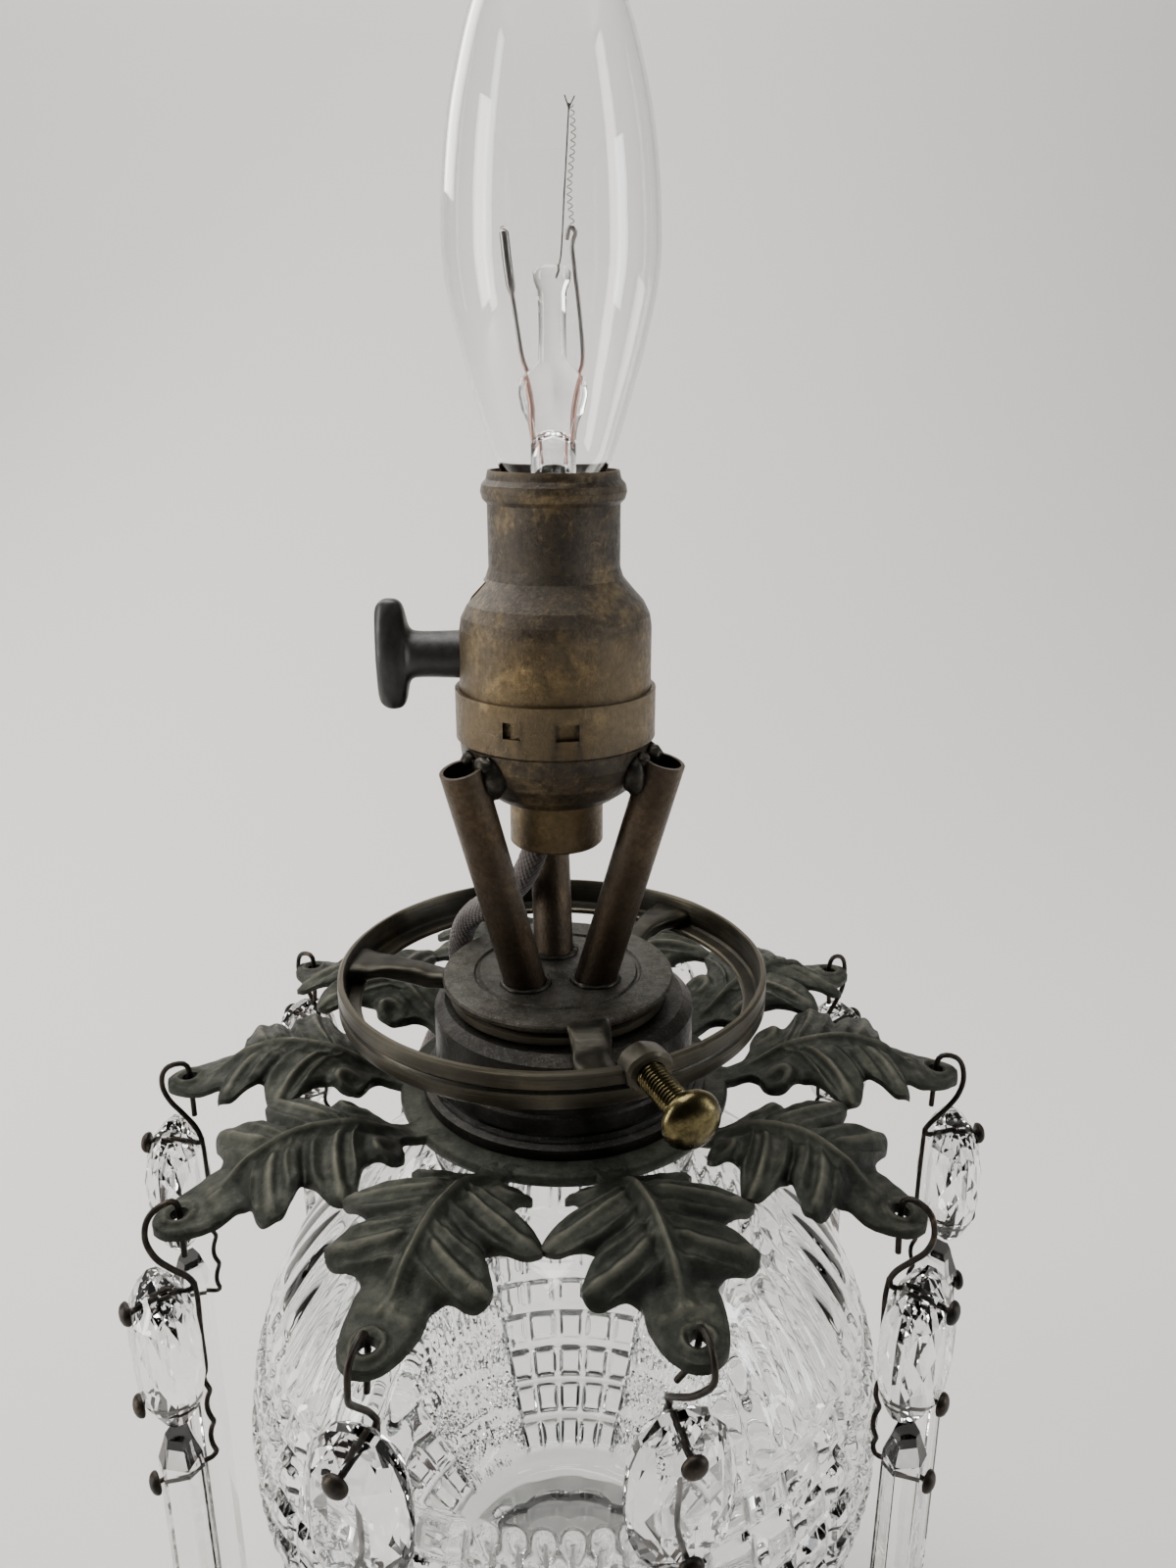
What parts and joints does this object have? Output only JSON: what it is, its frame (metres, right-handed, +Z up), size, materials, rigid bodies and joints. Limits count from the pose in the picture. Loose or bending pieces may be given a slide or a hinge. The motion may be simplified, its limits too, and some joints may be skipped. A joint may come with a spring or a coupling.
{
  "type": "cut-glass table lamp",
  "caption": "Small electric table lamp: cut-glass ball body, leaf ring hung with jewels and long prisms, shade ring, turn-key brass socket, clear candle bulb and cloth cord.",
  "frame": {"origin": "centre of the foot's flat resting face, on the axis of the glass body", "axes": "+Z up along the lamp, -Y towards the front where the two tripod legs and the thumbscrew show, -X towards the switch key"},
  "size_m": [0.17, 0.1658, 0.352],
  "materials": {
    "bulb_glass": "clear thin glass",
    "clear_glass": "clear",
    "cut_glass": "clear, cut and pressed",
    "crystal": "clear, facet cut",
    "lead_wire": "dull",
    "bright_brass": "satin",
    "black_insulator": "black glass",
    "solder": "dull",
    "aged_brass": "aged, mottled brown with worn gold",
    "fibre": "matt",
    "porcelain": "glazed",
    "black_rubber": "satin black",
    "dull_brass": "dark, dusty",
    "blackened_brass": "blackened",
    "yellow_brass": "worn",
    "verdigris_brass": "dark green-grey patina",
    "cord_cloth": "braided cotton",
    "tie": "matt",
    "plug_plastic": "brown moulded",
    "dark_wire": "dark oxidised wire"
  },
  "bodies": {
    "lamp": {"socket_shell": "aged_brass", "socket_cap": "aged_brass", "cap_bushing": "aged_brass", "insulating_liner": "fibre", "socket_insulator": "porcelain", "screw_shell": "bright_brass", "centre_contact": "bright_brass", "terminal_screws": "bright_brass", "tripod_tubes": "aged_brass", "hub_disc": "dull_brass", "adapter_ring": "blackened_brass", "font_collar": "blackened_brass", "shade_ring": "dull_brass", "prism_ring": "verdigris_brass", "glass_body": "cut_glass", "cord_tube": "cord_cloth", "cord_coil": "cord_cloth", "cord_tail": "cord_cloth", "cord_tie": "tie", "plug_body": "plug_plastic", "plug_blades": "bright_brass"},
    "switch": {"switch_rotor": "bright_brass", "switch_key": "black_rubber"},
    "bulb_seat": {"bulb_base_contact": "solder"},
    "bulb": {"bulb_glass": "bulb_glass", "bulb_stem": "clear_glass", "bulb_lead_wires": "lead_wire", "bulb_base_shell": "bright_brass", "bulb_base_insulator": "black_insulator"},
    "thumbscrew": {"thumbscrew": "yellow_brass"},
    "jewel_01": {"jewel_01": "crystal", "chain_wires_01": "dark_wire"},
    "prism_01": {"prism_01": "crystal"},
    "jewel_02": {"jewel_02": "crystal", "chain_wires_02": "dark_wire"},
    "prism_02": {"prism_02": "crystal"},
    "jewel_03": {"jewel_03": "crystal", "chain_wires_03": "dark_wire"},
    "prism_03": {"prism_03": "crystal"},
    "jewel_04": {"jewel_04": "crystal", "chain_wires_04": "dark_wire"},
    "prism_04": {"prism_04": "crystal"},
    "jewel_05": {"jewel_05": "crystal", "chain_wires_05": "dark_wire"},
    "prism_05": {"prism_05": "crystal"},
    "jewel_06": {"jewel_06": "crystal", "chain_wires_06": "dark_wire"},
    "prism_06": {"prism_06": "crystal"},
    "jewel_07": {"jewel_07": "crystal", "chain_wires_07": "dark_wire"},
    "prism_07": {"prism_07": "crystal"},
    "jewel_08": {"jewel_08": "crystal", "chain_wires_08": "dark_wire"},
    "prism_08": {"prism_08": "crystal"},
    "jewel_09": {"jewel_09": "crystal", "chain_wires_09": "dark_wire"},
    "prism_09": {"prism_09": "crystal"},
    "jewel_10": {"jewel_10": "crystal", "chain_wires_10": "dark_wire"},
    "prism_10": {"prism_10": "crystal"}
  },
  "joints": [
    {"name": "key_turn", "type": "hinge", "parent": "lamp", "child": "switch", "pos_m": [-0.021, 0, 0.2463], "axis": [-1, 0, 0], "continuous": true},
    {"name": "bulb_lift", "type": "slide", "parent": "lamp", "child": "bulb_seat", "axis": [0, 0, 1], "range_m": [0, 0.01016]},
    {"name": "bulb_turn", "type": "hinge", "parent": "bulb_seat", "child": "bulb", "pos_m": [-0.001, 0, 0.2634], "axis": [0, 0, 1], "range_deg": [0, 1440]},
    {"name": "thumbscrew_travel", "type": "slide", "parent": "lamp", "child": "thumbscrew", "axis": [0.4067, -0.9135, 0], "range_m": [-0.009, 0.004]},
    {"name": "chain_swing_01", "type": "hinge", "parent": "lamp", "child": "jewel_01", "pos_m": [-0.02585, -0.06806, 0.1677], "axis": [-0.9348, 0.3551, 0], "range_deg": [-2, 20]},
    {"name": "prism_swing_01", "type": "hinge", "parent": "jewel_01", "child": "prism_01", "pos_m": [-0.02599, -0.06843, 0.121], "axis": [-0.3551, -0.9348, 0], "range_deg": [-12, 12]},
    {"name": "chain_swing_02", "type": "hinge", "parent": "lamp", "child": "jewel_02", "pos_m": [0.01988, -0.06712, 0.1677], "axis": [-0.9588, -0.284, 0], "range_deg": [-2, 12]},
    {"name": "prism_swing_02", "type": "hinge", "parent": "jewel_02", "child": "prism_02", "pos_m": [0.01999, -0.0675, 0.121], "axis": [0.284, -0.9588, 0], "range_deg": [-12, 12]},
    {"name": "chain_swing_03", "type": "hinge", "parent": "lamp", "child": "jewel_03", "pos_m": [0.05494, -0.04007, 0.1677], "axis": [-0.5892, -0.808, 0], "range_deg": [-1, 9]},
    {"name": "prism_swing_03", "type": "hinge", "parent": "jewel_03", "child": "prism_03", "pos_m": [0.05527, -0.0403, 0.121], "axis": [0.808, -0.5892, 0], "range_deg": [-12, 12]},
    {"name": "chain_swing_04", "type": "hinge", "parent": "lamp", "child": "jewel_04", "pos_m": [0.07226, 0.00252, 0.1677], "axis": [0.0349, -0.9994, 0], "range_deg": [-2, 20]},
    {"name": "prism_swing_04", "type": "hinge", "parent": "jewel_04", "child": "prism_04", "pos_m": [0.07266, 0.00254, 0.121], "axis": [0.9994, 0.0349, 0], "range_deg": [-12, 12]},
    {"name": "chain_swing_05", "type": "hinge", "parent": "lamp", "child": "jewel_05", "pos_m": [0.05949, 0.04402, 0.1677], "axis": [0.5948, -0.8039, 0], "range_deg": [-2, 20]},
    {"name": "prism_swing_05", "type": "hinge", "parent": "jewel_05", "child": "prism_05", "pos_m": [0.05981, 0.04426, 0.121], "axis": [0.8039, 0.5948, 0], "range_deg": [-12, 12]},
    {"name": "chain_swing_06", "type": "hinge", "parent": "lamp", "child": "jewel_06", "pos_m": [0.02316, 0.06923, 0.1677], "axis": [0.9483, -0.3173, 0], "range_deg": [-2, 20]},
    {"name": "prism_swing_06", "type": "hinge", "parent": "jewel_06", "child": "prism_06", "pos_m": [0.02329, 0.06961, 0.121], "axis": [0.3173, 0.9483, 0], "range_deg": [-12, 12]},
    {"name": "chain_swing_07", "type": "hinge", "parent": "lamp", "child": "jewel_07", "pos_m": [-0.02134, 0.06981, 0.1677], "axis": [0.9563, 0.2924, 0], "range_deg": [-2, 20]},
    {"name": "prism_swing_07", "type": "hinge", "parent": "jewel_07", "child": "prism_07", "pos_m": [-0.02146, 0.07019, 0.121], "axis": [-0.2924, 0.9563, 0], "range_deg": [-12, 12]},
    {"name": "chain_swing_08", "type": "hinge", "parent": "lamp", "child": "jewel_08", "pos_m": [-0.05823, 0.04566, 0.1677], "axis": [0.617, 0.7869, 0], "range_deg": [-2, 20]},
    {"name": "prism_swing_08", "type": "hinge", "parent": "jewel_08", "child": "prism_08", "pos_m": [-0.05855, 0.04591, 0.121], "axis": [-0.7869, 0.617, 0], "range_deg": [-5, 12]},
    {"name": "chain_swing_09", "type": "hinge", "parent": "lamp", "child": "jewel_09", "pos_m": [-0.072, -0.00025, 0.1677], "axis": [-0.0035, 1, 0], "range_deg": [-2, 20]},
    {"name": "prism_swing_09", "type": "hinge", "parent": "jewel_09", "child": "prism_09", "pos_m": [-0.0724, -0.00025, 0.121], "axis": [-1, -0.0035, 0], "range_deg": [-12, 12]},
    {"name": "chain_swing_10", "type": "hinge", "parent": "lamp", "child": "jewel_10", "pos_m": [-0.06073, -0.0405, 0.1677], "axis": [-0.5548, 0.832, 0], "range_deg": [-2, 20]},
    {"name": "prism_swing_10", "type": "hinge", "parent": "jewel_10", "child": "prism_10", "pos_m": [-0.06107, -0.04073, 0.121], "axis": [-0.832, -0.5548, 0], "range_deg": [-12, 12]}
  ],
  "couplings": [
    {"joint": "bulb_lift", "follows": "bulb_turn", "m_per_rad": 0.00040425}
  ]
}
